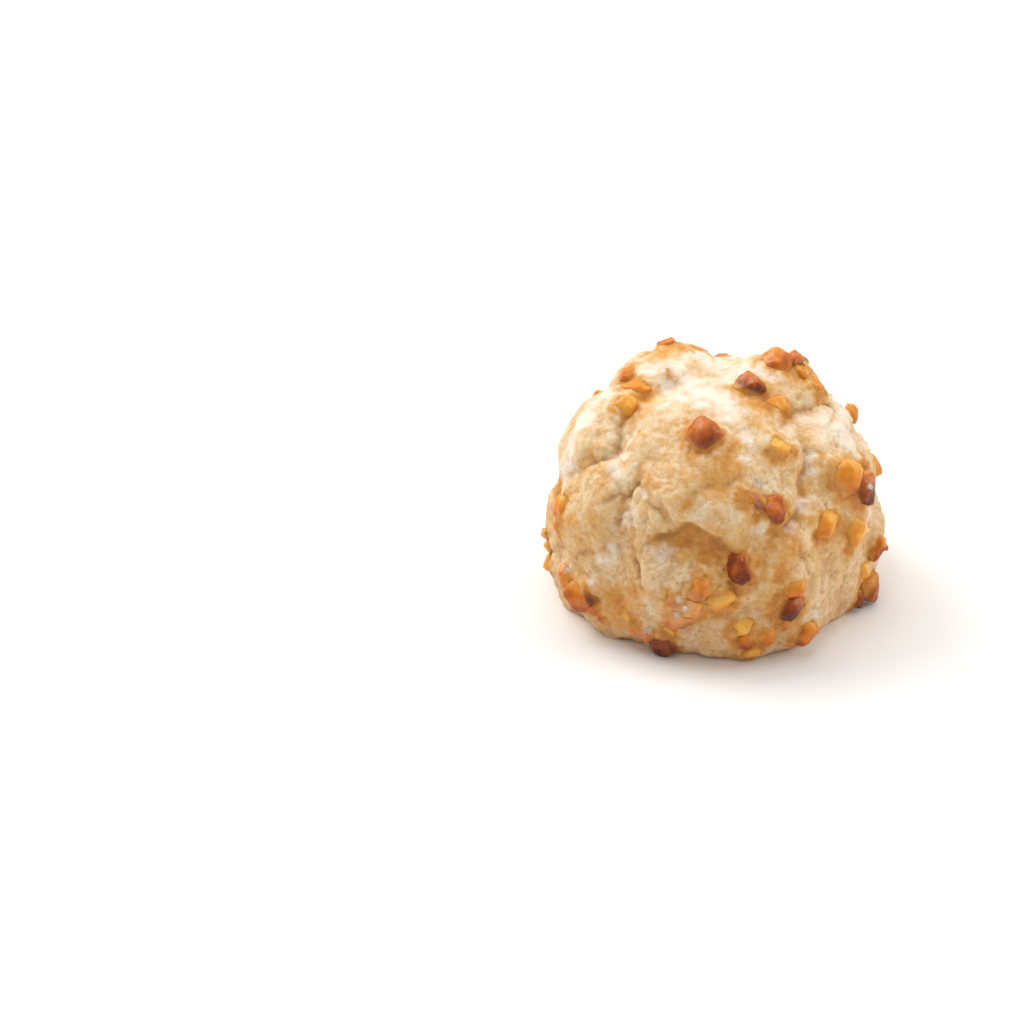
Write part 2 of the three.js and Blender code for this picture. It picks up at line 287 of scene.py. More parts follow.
# Nuts that the front shows: pixel of the middle, length and width in mm, turn of the length in the view in
# degrees, and roast from 0, pale, to 1, dark.
FRONT_NUTS = [
    (667, 347, 4.0, 2.8, -8, 0.62), (629, 374, 5.0, 3.2, 22, 0.50), (634, 391, 6.2, 4.0, 18, 0.42),
    (626, 407, 4.4, 3.8, 55, 0.30), (591, 386, 3.2, 2.6, 45, 0.55), (702, 437, 6.4, 6.2, 60, 0.79),
    (747, 390, 5.4, 4.8, -48, 0.90), (774, 408, 4.4, 3.7, 15, 0.36), (776, 365, 5.8, 5.6, -20, 0.58),
    (794, 363, 5.0, 4.4, -40, 0.76), (800, 374, 4.2, 3.6, 60, 0.44), (813, 386, 4.2, 3.4, -45, 0.44),
    (853, 413, 3.9, 2.8, 75, 0.50), (775, 449, 4.6, 4.0, 30, 0.18), (876, 463, 5.0, 3.4, -70, 0.40),
    (845, 477, 6.4, 6.0, 70, 0.38), (858, 489, 6.4, 5.7, 60, 0.74), (860, 462, 2.4, 2.0, 0, 0.50),
    (748, 501, 6.2, 3.1, -35, 0.72), (772, 512, 5.8, 4.9, 70, 0.74), (821, 522, 5.8, 5.4, 80, 0.28),
    (850, 531, 6.2, 5.8, 60, 0.28), (874, 546, 4.8, 4.2, 30, 0.60), (859, 570, 4.4, 3.2, 20, 0.26),
    (870, 590, 6.0, 5.0, 75, 0.66), (854, 597, 4.2, 3.6, 45, 0.84), (738, 568, 7.6, 5.2, 80, 0.82),
    (699, 352, 3.0, 1.6, -15, 0.45), (699, 589, 5.6, 4.6, 20, 0.50), (679, 600, 5.0, 4.2, -30, 0.48),
    (678, 617, 5.6, 4.3, -15, 0.54), (693, 607, 4.2, 3.7, 60, 0.36), (720, 599, 5.4, 4.0, 25, 0.16),
    (791, 587, 4.2, 4.0, 0, 0.44), (785, 604, 5.6, 5.4, 60, 0.82), (802, 631, 5.0, 4.6, 60, 0.50),
    (737, 625, 5.2, 3.2, 15, 0.14), (741, 639, 4.2, 3.2, 30, 0.58), (763, 633, 5.0, 3.8, 70, 0.40),
    (749, 649, 4.2, 3.0, 20, 0.20), (778, 621, 2.4, 2.2, 0, 0.58), (563, 508, 4.8, 4.0, 70, 0.40),
    (560, 527, 3.8, 3.0, -60, 0.38), (546, 534, 2.4, 1.9, 90, 0.40), (550, 547, 2.8, 2.5, 45, 0.24),
    (550, 563, 3.2, 2.3, 80, 0.20), (561, 484, 2.6, 1.8, 80, 0.18), (570, 496, 2.4, 2.0, 60, 0.38),
    (569, 577, 5.0, 4.4, -70, 0.46), (580, 596, 6.2, 5.2, -60, 0.54), (590, 593, 4.4, 2.4, -70, 0.88),
    (600, 611, 3.8, 3.2, -60, 0.60), (627, 612, 3.0, 2.6, 45, 0.26), (645, 628, 5.2, 4.4, -40, 0.48),
    (665, 640, 5.2, 4.9, 60, 0.82), (667, 627, 3.4, 2.0, -40, 0.14),
]
# Small chips between them, given in the same way.
CHIPS = [(682, 421, 0.9, 0.8, 0, 1.2), (667, 371, 1.7, 1.3, 20, 0.35)]
FIRST_CHIP_SEED = 300
# The rim and the back follow the solid's rule: a spiral of even spacing with seeded scatter. A nut keeps
# behind the rim by a share of the radius for each mm of its length.
SPIRAL_NUTS = 170
SPIRAL_LOWEST = -0.45
SPIRAL_SCATTER = 16
SPIRAL_LENGTHS = (3.0, 6.2)
SPIRAL_WIDTHS = (0.6, 0.92)
SPIRAL_BEHIND = 0.045
FIRST_SPIRAL_SEED = 100
GOLDEN_TURN = 180 * (3 - math.sqrt(5))
NUT_HEIGHT = 0.86


def draw(number):
    """A seeded draw from 0 to 1, the same for the same number."""
    wave = math.sin(number * 12.9898) * 43758.5453
    return wave - math.floor(wave)


def draw_between(number, least, most):
    """A seeded draw between two values."""
    return least + (most - least) * draw(number)


def draw_lean(number, limit):
    """A seeded angle in radians, up to a limit in degrees each way."""
    return math.radians(limit) * (2 * draw(number) - 1)


def draw_way(turn, lift):
    """A seeded direction, from two numbers."""
    return way(360 * draw(turn), 180 * draw(lift) - 90)


# Each shape of nib: number of breaks, how far a second block stands to its side, and rounds of wear.
NUT_SHAPES = [
    (5, 0.0, 12), (6, 0.30, 10), (7, 0.22, 12), (22, 0.0, 30),
    (6, 0.0, 12), (5, 0.34, 12), (8, 0.25, 14), (7, 0.0, 9),
]
ROUND_SHAPE = 3
ROUND_FROM = 0.92
BLOCK_SIZE = 1.1
BREAK_LEAN = 70
BREAK_DEPTHS = (0.38, 0.55)
SECOND_BLOCK = 0.7
SHAPE_SEEDS = 7.3
NIB_EDGE = 0.085
NIB_SPAN = 1.12


def broken_block(seed, breaks, size, middle):
    """One block, broken by flat cuts on all sides."""
    bpy.ops.object.select_all(action="DESELECT")
    turn = [draw_lean(seed + part, 180) for part in (0.2, 0.4, 0.6)]
    bpy.ops.mesh.primitive_cube_add(size=BLOCK_SIZE * size, location=middle, rotation=turn)
    block = bpy.context.object
    bpy.ops.object.transform_apply(location=True, rotation=True)
    bpy.ops.object.mode_set(mode="EDIT")
    for side in range(breaks):
        lean = BREAK_LEAN * (2 * draw(seed + side + 0.3) - 1)
        out = way(360 * side / breaks + 60 * draw(seed + side), lean)
        cut = Vector(middle) + out * size * draw_between(seed + side + 0.6, *BREAK_DEPTHS)
        bpy.ops.mesh.select_all(action="SELECT")
        bpy.ops.mesh.bisect(plane_co=cut, plane_no=out, use_fill=True, clear_outer=True)
    bpy.ops.object.mode_set(mode="OBJECT")
    return block


def chopped_nut(number, breaks, apart, wear):
    """One nib, about 1 long, wide and high: one or two broken blocks with worn edges."""
    seed = SHAPE_SEEDS * number
    blocks = [broken_block(seed, breaks, 1, (0, 0, 0))]
    if apart:
        blocks.append(broken_block(seed + 3.1, breaks, SECOND_BLOCK, way(90 * number, 30) * apart))
    nib = join_pieces(blocks, "nib")
    apply_modifier(nib, "REMESH", mode="VOXEL", voxel_size=NIB_EDGE)
    apply_modifier(nib, "SMOOTH", factor=0.5, iterations=wear)
    push_out(nib, 0.05 * uneven(skin_points(nib) + number, 0.35, 3))
    nib.dimensions = (NIB_SPAN, NIB_SPAN, NIB_SPAN)
    bpy.ops.object.transform_apply(scale=True)
    bpy.ops.object.shade_smooth()
    return nib


nut_shapes = [chopped_nut(number, *shape) for number, shape in enumerate(NUT_SHAPES)]


def front_seat(x, y, length, width, turn, roast, seed):
    """Seat of a nut that the front shows, standing out of the rim when its pixel lies beside the skin."""
    along = VIEW_RIGHT * math.cos(math.radians(turn)) + VIEW_UP * math.sin(math.radians(turn))
    place, normal = spot_at_pixel(x, y)
    face = (normal + TO_VIEWER).normalized()
    beside = aim_at_pixel(x, y) - place
    beside -= TO_VIEWER * beside.dot(TO_VIEWER)
    place += normal * min(beside.length, RIM_STANDING * width * MM)
    return place, normal, face, along, length * MM, width * MM, roast, seed


nut_seats = [front_seat(*nut, seed=index + 1) for index, nut in enumerate(FRONT_NUTS)]
for index in range(SPIRAL_NUTS):
    seed = FIRST_SPIRAL_SEED + index
    height = 1 + (SPIRAL_LOWEST - 1) * (index + 0.5) / SPIRAL_NUTS
    elevation = math.degrees(math.asin(height) + draw_lean(seed, SPIRAL_SCATTER))
    azimuth = index * GOLDEN_TURN + math.degrees(draw_lean(seed + 0.71, SPIRAL_SCATTER))
    out = way(azimuth, elevation)
    length = draw_between(seed + 0.83, *SPIRAL_LENGTHS) * MM
    width = length * draw_between(seed + 0.11, *SPIRAL_WIDTHS)
    ways = [(place - CORE_CENTRE).normalized() for place, *_ in nut_seats]
    clear = all((out - other).length * CORE_RADIUS > NUT_SPACING for other in ways)
    if out.dot(TO_VIEWER) < -SPIRAL_BEHIND * length / MM and clear:
        along = draw_way(seed + 0.53, seed + 0.59)
        place, normal = spot_towards(out)
        nut_seats.append((place, normal, normal, along, length, width, draw(seed + 0.35) ** 0.8, seed))
nut_seats += [front_seat(*chip, seed=FIRST_CHIP_SEED + index) for index, chip in enumerate(CHIPS)]


def lying(face, along):
    """Turns Z to where a nut faces and X along its length."""
    length_way = (along - face * along.dot(face)).normalized()
    return Matrix((length_way, face.cross(length_way), face)).transposed().to_4x4()


nuts = []
for place, normal, face, along, length, width, roast, seed in nut_seats:
    drawn = int(len(nut_shapes) * draw(seed + 0.17))
    shape = nut_shapes[ROUND_SHAPE if width > ROUND_FROM * length else drawn]
    nib = shape.copy()
    nib.data = shape.data.copy()
    bpy.context.collection.objects.link(nib)
    lean = Matrix.Rotation(draw_lean(seed + 0.47, NUT_TILT), 4, "Y")
    lean = lean @ Matrix.Rotation(draw_lean(seed + 0.41, NUT_TILT), 4, "X")
    standing = PALE_STANDING + (DARK_STANDING - PALE_STANDING) * roast
    seat = Matrix.Translation(place + normal * standing * width)
    size = Matrix.Diagonal((length, width, NUT_HEIGHT * width, 1))
    nib.matrix_world = seat @ lying(face, along) @ lean @ size
    offsets = skin_points(nib) @ np.array(nib.matrix_world.to_3x3()).T
    risen = offsets @ np.array(normal) + standing * width
    # Each nut's roast is painted darker towards its lower side: painted shade under light from above.
    keep_attribute(nib, "roast", roast - (0.2 + 0.35 * roast) * offsets[:, 2] / length)
    keep_attribute(nib, "risen", risen / MM)
    nuts.append(nib)
for shape in nut_shapes:
    bpy.data.objects.remove(shape)
chopped_nuts = join_pieces(nuts, "chopped_nuts")


def cut_at_tray(piece):
    """Cuts a piece flat where it stands on the tray."""
    bpy.ops.object.select_all(action="DESELECT")
    piece.select_set(True)
    bpy.context.view_layer.objects.active = piece
    bpy.ops.object.mode_set(mode="EDIT")
    bpy.ops.mesh.select_all(action="SELECT")
    bpy.ops.mesh.bisect(plane_co=(0, 0, 0), plane_no=(0, 0, 1), use_fill=True, clear_inner=True)
    bpy.ops.object.mode_set(mode="OBJECT")
    bpy.ops.object.shade_smooth()


cut_at_tray(chopped_nuts)

# Spots where sugar has melted on the nuts: pixel of the middle, radius in mm and strength.
GLAZED_SPOTS = [
    (678, 606, 4.2, 0.6), (645, 624, 2.4, 0.6), (860, 486, 2.2, 0.4), (568, 571, 1.6, 0.5),
]


def spot_closeness(points, spots):
    """How near each point is to one of the spots of the front or of the back, from 0 to 1."""
    nearest = np.zeros(len(points))
    for places in front_and_back([(x, y) for x, y, _, _ in spots]):
        for place, (_, _, radius, strength) in zip(places, spots):
            far = np.linalg.norm(points - np.array(place), axis=1) / (radius * MM)
            nearest = np.maximum(nearest, strength * np.exp(-(far ** 2)))
    return nearest


keep_attribute(chopped_nuts, "glaze", spot_closeness(skin_points(chopped_nuts), GLAZED_SPOTS))


def linear(code):
    """Linear RGBA of an sRGB hex colour."""
    parts = [int(code[start:start + 2], 16) / 255 for start in (1, 3, 5)]
    return [part / 12.92 if part <= 0.04045 else ((part + 0.055) / 1.055) ** 2.4 for part in parts] + [1]


def add(tree, kind, links, **settings):
    """Adds a node with its settings, and links or sets its inputs."""
    node = tree.nodes.new(kind)
    for name, value in settings.items():
        setattr(node, name, value)
    for name, source in links.items():
        if isinstance(source, bpy.types.NodeSocket):
            tree.links.new(source, node.inputs[name])
        else:
            node.inputs[name].default_value = source
    return node


def new_material(piece, name):
    """Gives a piece an empty material and returns its tree, its output and its Object coordinates."""
    material = bpy.data.materials.new(name)
    material.use_nodes = True
    tree = material.node_tree
    tree.nodes.clear()
    output = tree.nodes.new("ShaderNodeOutputMaterial")
    coordinates = add(tree, "ShaderNodeTexCoord", {})
    piece.data.materials.clear()
    piece.data.materials.append(material)
    return tree, output, coordinates.outputs["Object"]


# Roasted nut: dense and oily, so it is waxy and lets some light in. It is browner in patches, darker
# towards its lower side as painted shade, and a film of dough covers its foot.
tree, output, place = new_material(chopped_nuts, "roasted_nut")
roast = add(tree, "ShaderNodeAttribute", {}, attribute_name="roast").outputs["Fac"]
browning = add(tree, "ShaderNodeTexNoise", {"Vector": place, "Scale": 1 / (2.8 * MM), "Detail": 3})
shift = add(tree, "ShaderNodeMath", {
    0: browning.outputs["Fac"], 1: 0.85, 2: -0.39}, operation="MULTIPLY_ADD")
toned = add(tree, "ShaderNodeMath", {0: roast, 1: shift.outputs[0]}, operation="ADD")
colour = add(tree, "ShaderNodeValToRGB", {"Fac": toned.outputs[0]})
ramp = colour.color_ramp
NUT_COLOURS = {
    0.0: "#f0c05c", 0.2: "#ecaa40", 0.4: "#e58c24", 0.6: "#c56820", 0.8: "#94451c", 1.0: "#642c16"}
for stop, (position, code) in enumerate(NUT_COLOURS.items()):
    element = ramp.elements[stop] if stop < 2 else ramp.elements.new(position)
    element.position = position
    element.color = linear(code)
risen = add(tree, "ShaderNodeAttribute", {}, attribute_name="risen").outputs["Fac"]
in_dough = add(tree, "ShaderNodeMapRange", {
    "Value": risen, "From Min": 1.5, "From Max": 0.2, "To Max": 0.8}, interpolation_type="SMOOTHSTEP")
DOUGH_FILM = linear("#d8983f")
filmed = add(tree, "ShaderNodeMix", {
    0: in_dough.outputs["Result"], 6: colour.outputs["Color"], 7: DOUGH_FILM}, data_type="RGBA")
grain = add(tree, "ShaderNodeTexNoise", {"Vector": place, "Scale": 1 / (0.9 * MM), "Detail": 3})
glaze = add(tree, "ShaderNodeAttribute", {}, attribute_name="glaze").outputs["Fac"]
streaks = add(tree, "ShaderNodeMath", {
    0: grain.outputs["Fac"], 1: 2.0, 2: -0.4}, operation="MULTIPLY_ADD")
glazing = add(tree, "ShaderNodeMath", {
    0: glaze, 1: streaks.outputs[0]}, operation="MULTIPLY", use_clamp=True)
MELTED_SUGAR = linear("#dfc09a")
glazed = add(tree, "ShaderNodeMix", {
    0: glazing.outputs[0], 6: filmed.outputs[2], 7: MELTED_SUGAR}, data_type="RGBA")
relief = add(tree, "ShaderNodeBump", {
    "Height": grain.outputs["Fac"], "Strength": 0.45, "Distance": 0.25 * MM})
shader = add(tree, "ShaderNodeBsdfPrincipled", {
    "Base Color": glazed.outputs[2],
    "Normal": relief.outputs["Normal"],
    "Roughness": 0.38,
    "IOR": 1.47,
    "Specular IOR Level": 0.1,
    "Coat Weight": 0.5,
    "Coat Roughness": 0.1,
    "Subsurface Weight": 0.45,
    "Subsurface Radius": (1.0, 0.5, 0.22),
    "Subsurface Scale": 1.2 * MM,
})
tree.links.new(shader.outputs["BSDF"], output.inputs["Surface"])
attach(chopped_nuts, "root")

# Skin: the crust rises in a collar round each nut, wrinkles and flakes as it dries, and stays pitted by
# small bubbles. The tray keeps it flat underneath.
COLLAR_WIDTH = 1.2
COLLAR_HEIGHT = 1.0 * MM
COLLAR_INSIDE = 1.6
TOAST_WIDTH = 1.3
TOAST_RUN = 1.0
TOAST_WANDER = 0.9 * MM
HOLLOW_ROUNDS = 18
HOLLOW_DEPTH = 0.3 * MM
VALLEY_ROUNDS = 176
VALLEY_DEPTH = 0.8 * MM
FLAKE_HEIGHT = 0.65 * MM
MEAN_FLAKE = 0.4
CRUMB_HEIGHT = 0.22 * MM
PIT_SPACING = 1.5 * MM
PIT_RADIUS = 0.3
PIT_DEPTH = 0.45 * MM


def nut_edges(points):
    """How far each point is from the nearest nut, in mm, and negative inside it."""
    edges = []
    for point in points:
        _, place, normal, _ = chopped_nuts.closest_point_on_mesh(Vector(point))
        away = Vector(point) - place
        edges.append(math.copysign(away.length, away.dot(normal)) / MM)
    return np.array(edges)


points = skin_points(crust)
dryness = np.clip(0.55 + 0.5 * uneven(points, 11 * MM, 2) + 0.3 * tears, 0.15, 1.1)
edges = nut_edges(points)
climbing = np.clip(0.6 + 0.6 * uneven(points, 2.4 * MM, 2), 0.2, 1.2)
collars = COLLAR_HEIGHT * climbing * np.exp(-np.maximum(edges, 0) / COLLAR_WIDTH)
collars *= np.clip(COLLAR_INSIDE + edges, 0, 1)
flakes = FLAKE_HEIGHT * dryness * (uneven(points, 2.6 * MM, 3, folded=True) - MEAN_FLAKE)
crumb = CRUMB_HEIGHT * uneven(points, 0.8 * MM, 2)
bubbles = np.array([noise.voronoi(Vector(point) / PIT_SPACING)[0][0] for point in points])
pits = PIT_DEPTH * dryness * np.clip(1 - bubbles / PIT_RADIUS, 0, 1)
push_out(crust, collars + calm * (flakes + crumb - pits))

# The oven toasts the skin in spots, and round the nuts, reaching further below each nut. Some spots are
# painted shade instead, under the ledge, in the creases and on the dome below the round nut.
# Spots of the front, browned or painted with shade: pixel of the middle, radius in mm and strength.
TOAST_AND_SHADE_SPOTS = [
    (655, 539, 2.2, 0.6), (672, 536, 2.6, 0.7), (690, 540, 4.2, 0.9), (711, 549, 4.0, 1.1),
    (730, 554, 3.0, 1.0), (700, 572, 3.0, 0.7), (715, 565, 3.0, 0.8), (755, 560, 3.0, 0.5),
    (748, 585, 3.0, 0.5), (765, 600, 4.0, 0.6), (771, 615, 3.0, 0.6), (722, 466, 5.5, 0.75),
    (716, 486, 5.0, 0.65), (742, 489, 3.0, 0.6), (735, 498, 2.5, 0.7), (757, 398, 2.4, 0.8),
    (645, 399, 2.2, 0.9), (667, 371, 1.0, 0.6), (600, 447, 2.4, 0.4), (587, 456, 1.5, 0.6),
    (642, 442, 2.0, 0.45), (662, 441, 1.6, 0.4), (686, 474, 2.2, 0.5), (681, 501, 2.0, 0.6),
    (620, 505, 1.8, 0.5), (590, 520, 3.0, 0.35), (620, 622, 3.0, 0.7), (605, 600, 2.0, 0.5),
    (585, 575, 2.5, 0.4), (799, 470, 2.0, 0.5), (800, 492, 2.2, 0.55), (790, 515, 2.2, 0.4),
    (818, 459, 2.6, 0.7), (834, 472, 3.4, 1.0), (842, 523, 1.5, 0.7), (823, 508, 2.0, 0.5),
    (810, 540, 2.2, 0.3), (763, 402, 4.0, 1.1), (815, 411, 3.0, 0.25), (650, 488, 3.0, 0.6),
    (785, 420, 2.4, 0.5), (775, 600, 3.0, 1.2), (787, 546, 3.8, 0.85), (668, 480, 3.6, 0.45),
    (692, 470, 4.0, 0.5), (640, 500, 2.6, 0.4), (722, 503, 3.6, 0.45), (575, 480, 2.4, 0.3),
    (590, 500, 4.0, 0.4), (729, 449, 2.6, 1.1), (700, 456, 4.5, 0.5), (752, 418, 3.0, 0.55),
    (661, 482, 4.0, 0.5), (720, 525, 4.5, 0.5), (808, 506, 2.5, 0.5), (780, 542, 3.5, 0.85),
    (640, 600, 4.0, 0.65), (635, 552, 3.0, 0.35), (580, 540, 4.5, 0.55), (790, 622, 3.0, 0.8),
    (682, 503, 3.0, 0.7), (570, 520, 2.5, 0.7), (810, 516, 3.0, 0.6), (690, 531, 2.2, 0.9),
    (597, 488, 4.0, 0.55), (565, 525, 3.0, 0.6), (622, 425, 3.0, 0.4), (665, 510, 3.0, 0.5),
    (780, 575, 3.5, 1.0), (617, 604, 4.5, 1.0), (605, 588, 3.0, 0.5), (765, 575, 3.0, 0.6),
    (645, 478, 3.0, 0.7), (625, 462, 2.5, 0.45), (630, 590, 3.0, 0.8), (772, 592, 3.0, 0.7),
    (712, 572, 3.0, 0.6), (757, 468, 3.0, 0.35),
]
# Spots of the front that are dusted with sugar, those at the left and right rims made larger as painted rim
# light: pixel
#  of the middle, radius in mm and strength.
SUGAR_AND_RIM_LIGHT_SPOTS = [
    (667, 383, 2.0, 1), (678, 398, 1.5, 1), (705, 357, 2.4, 1), (718, 366, 2.0, 1),
    (757, 372, 2.6, 1), (728, 408, 2.0, 1), (727, 419, 1.6, 1), (744, 440, 1.2, 1),
    (738, 456, 1.5, 1), (768, 441, 1.0, 1), (810, 455, 1.5, 1), (808, 471, 1.2, 1),
    (834, 428, 2.8, 0.7), (843, 441, 2.0, 1), (824, 416, 1.6, 1), (755, 483, 1.9, 0.7),
    (580, 422, 3.0, 1), (570, 450, 3.0, 1), (564, 470, 3.2, 1.3), (575, 476, 1.2, 1),
    (613, 470, 1.6, 1), (624, 458, 1.4, 1), (642, 494, 1.2, 1), (632, 512, 1.8, 1),
    (625, 522, 1.3, 1), (646, 600, 1.6, 1), (650, 611, 1.4, 1), (607, 563, 2.0, 1),
    (590, 584, 1.2, 1), (755, 526, 2.8, 1), (800, 505, 2.2, 1), (785, 526, 1.8, 1),
    (793, 566, 2.4, 0.6), (815, 613, 2.2, 1), (612, 548, 1.6, 1), (700, 405, 1.4, 1),
    (690, 385, 4.0, 0.7), (692, 514, 2.6, 0.8), (660, 552, 2.2, 0.7), (737, 604, 2.0, 0.5),
    (630, 575, 2.0, 0.6), (580, 560, 1.8, 0.6), (770, 470, 2.0, 0.4), (720, 520, 2.0, 0.5),
    (835, 560, 2.4, 0.5), (868, 518, 2.5, 0.8), (872, 562, 2.5, 0.7), (592, 406, 2.5, 0.8),
]

strayed = straying(points, TOAST_WANDER, 2 * MM, 2)
run_down = np.array([0, 0, TOAST_RUN * MM])
near_nuts = np.exp(-((np.maximum(nut_edges(strayed + run_down), 0) / TOAST_WIDTH) ** 2))
# This mask holds the browned halos round the nuts and the spots, some of which are painted shade.
keep_attribute(crust, "toast_and_shade", np.maximum(near_nuts, spot_closeness(strayed, TOAST_AND_SHADE_SPOTS)))
# This mask also holds the painted rim light of the spots at the rims.
keep_attribute(crust, "sugar", spot_closeness(strayed, SUGAR_AND_RIM_LIGHT_SPOTS))


def hollows(piece, rounds, depth):
    """How far each point lies below its surroundings: 1 in a hollow of the depth, -1 on a ridge."""
    even = piece.copy()
    even.data = piece.data.copy()
    bpy.context.collection.objects.link(even)
    apply_modifier(even, "SMOOTH", factor=0.5, iterations=rounds)
    sunk = skin_points(even) - skin_points(piece)
    bpy.data.objects.remove(even)
    return np.clip((sunk * skin_normals(piece)).sum(axis=1) / depth, -1, 1)


keep_attribute(crust, "hollow", hollows(crust, HOLLOW_ROUNDS, HOLLOW_DEPTH))
keep_attribute(crust, "valley", hollows(crust, VALLEY_ROUNDS, VALLEY_DEPTH))
cut_at_tray(crust)

# Baked choux: dry dough, so it is matt. It is cream where it stretched last, golden in patches, pinkish low
# down and brown round the nuts, with fine white sugar caught on what faces up. Painted shade darkens its
# hollows, cracks and some spots, and painted rim light whitens its rims.
tree, output, place = new_material(crust, "baked_choux")
CREAM = linear("#edd6ae")
GOLD = linear("#dcaa5e")
TAN = linear("#e2bd90")
AMBER = linear("#d89840")
TOASTED_AND_SHADED = linear("#c07636")
BROWN = linear("#9c6230")
SHADE = linear("#be8c5e")
WHITE = linear("#f7ecde")
height = add(tree, "ShaderNodeSeparateXYZ", {"Vector": place}).outputs["Z"]
normal = add(tree, "ShaderNodeNewGeometry", {}).outputs["Normal"]
facing_up = add(tree, "ShaderNodeSeparateXYZ", {"Vector": normal}).outputs["Z"]
hollow = add(tree, "ShaderNodeAttribute", {}, attribute_name="hollow").outputs["Fac"]
crack = add(tree, "ShaderNodeAttribute", {}, attribute_name="crack").outputs["Fac"]
valley = add(tree, "ShaderNodeAttribute", {}, attribute_name="valley").outputs["Fac"]
toast_and_shade = add(tree, "ShaderNodeAttribute", {}, attribute_name="toast_and_shade").outputs["Fac"]
sugar = add(tree, "ShaderNodeAttribute", {}, attribute_name="sugar").outputs["Fac"]
patches = add(tree, "ShaderNodeTexNoise", {
    "Vector": place, "Scale": 1 / (8 * MM), "Detail": 7, "Roughness": 0.66, "Distortion": 0.2})
mottle = add(tree, "ShaderNodeTexNoise", {
    "Vector": place, "Scale": 1 / (2.4 * MM), "Detail": 6, "Roughness": 0.66, "Distortion": 0.2})
grain = add(tree, "ShaderNodeTexNoise", {
    "Vector": place, "Scale": 1 / (0.6 * MM), "Detail": 3, "Roughness": 0.55})

lowness = add(tree, "ShaderNodeMapRange", {
    "Value": height, "From Min": 42 * MM, "From Max": 4 * MM},
    interpolation_type="SMOOTHSTEP").outputs["Result"]
mixed = add(tree, "ShaderNodeMath", {
    0: mottle.outputs["Fac"], 1: 0.6, 2: patches.outputs["Fac"]}, operation="MULTIPLY_ADD")
# Valleys are made a little more golden: slight painted shade.
sunken = add(tree, "ShaderNodeMath", {0: valley, 1: 0.06, 2: mixed.outputs[0]}, operation="MULTIPLY_ADD")
lowered = add(tree, "ShaderNodeMath", {
    0: lowness, 1: 0.04, 2: sunken.outputs[0]}, operation="MULTIPLY_ADD")
goldness = add(tree, "ShaderNodeMapRange", {
    "Value": lowered.outputs[0], "From Min": 0.56, "From Max": 0.98}, interpolation_type="SMOOTHSTEP")
golden = add(tree, "ShaderNodeMix", {0: goldness.outputs["Result"], 6: CREAM, 7: GOLD}, data_type="RGBA")
drift = add(tree, "ShaderNodeTexNoise", {
    "Vector": place, "Scale": 1 / (5 * MM), "Detail": 8, "Roughness": 0.72, "Distortion": 0.1})
varied = add(tree, "ShaderNodeMath", {
    0: drift.outputs["Fac"], 1: 1.8, 2: -0.3}, operation="MULTIPLY_ADD", use_clamp=True)
baked_low = add(tree, "ShaderNodeMath", {0: lowness, 1: varied.outputs[0]}, operation="MULTIPLY")
tanned = add(tree, "ShaderNodeMix", {
    0: baked_low.outputs[0], 6: golden.outputs[2], 7: TAN}, data_type="RGBA")
grained = add(tree, "ShaderNodeMath", {
    0: grain.outputs["Fac"], 1: 0.8, 2: -0.68}, operation="MULTIPLY_ADD")
deepened = add(tree, "ShaderNodeMath", {
    0: mottle.outputs["Fac"], 1: 1.0, 2: grained.outputs[0]}, operation="MULTIPLY_ADD")
# Hollows and valleys are mixed towards SHADE with the mottle and grain: painted shade in the hollows, over
# uneven tone.
dented = add(tree, "ShaderNodeMath", {0: hollow, 1: 0.5, 2: deepened.outputs[0]}, operation="MULTIPLY_ADD")
hollowed = add(tree, "ShaderNodeMath", {
    0: valley, 1: 0.22, 2: dented.outputs[0]}, operation="MULTIPLY_ADD", use_clamp=True)
shaded = add(tree, "ShaderNodeMix", {
    0: hollowed.outputs[0], 6: tanned.outputs[2], 7: SHADE}, data_type="RGBA")
# Amber and dark brown from the halos and spots: browning round the nuts, and painted shade where the spots
# stand for shade.
spread = add(tree, "ShaderNodeMath", {
    0: mottle.outputs["Fac"], 1: 2.2, 2: -0.2}, operation="MULTIPLY_ADD")
stain_and_shade = add(tree, "ShaderNodeMath", {0: toast_and_shade, 1: spread.outputs[0]}, operation="MULTIPLY").outputs[0]
amber = add(tree, "ShaderNodeMapRange", {
    "Value": stain_and_shade, "From Min": 0.1, "From Max": 0.7, "To Max": 0.85}, interpolation_type="SMOOTHSTEP")
ambered = add(tree, "ShaderNodeMix", {
    0: amber.outputs["Result"], 6: shaded.outputs[2], 7: AMBER}, data_type="RGBA")
burnt_and_shaded = add(tree, "ShaderNodeMapRange", {
    "Value": stain_and_shade, "From Min": 0.5, "From Max": 1.1, "To Max": 0.8}, interpolation_type="SMOOTHSTEP")
toasted_and_shaded = add(tree, "ShaderNodeMix", {
    0: burnt_and_shaded.outputs["Result"], 6: ambered.outputs[2], 7: TOASTED_AND_SHADED}, data_type="RGBA")
# Cracks are mixed towards brown: painted shade.
crack_shaded = add(tree, "ShaderNodeMix", {0: crack, 6: toasted_and_shaded.outputs[2], 7: BROWN}, data_type="RGBA")
caught = add(tree, "ShaderNodeMapRange", {
    "Value": facing_up, "From Min": 0.45, "From Max": 0.95, "To Max": 0.24})
thrown = add(tree, "ShaderNodeMath", {
    0: sugar, 1: 0.42, 2: caught.outputs["Result"]}, operation="MULTIPLY_ADD")
on_ridges = add(tree, "ShaderNodeMath", {
    0: valley, 1: -0.06, 2: thrown.outputs[0]}, operation="MULTIPLY_ADD")
melted = add(tree, "ShaderNodeMath", {
    0: toast_and_shade, 1: -0.3, 2: on_ridges.outputs[0]}, operation="MULTIPLY_ADD")
heaped = add(tree, "ShaderNodeMath", {
    0: drift.outputs["Fac"], 1: 1.7, 2: melted.outputs[0]}, operation="MULTIPLY_ADD")
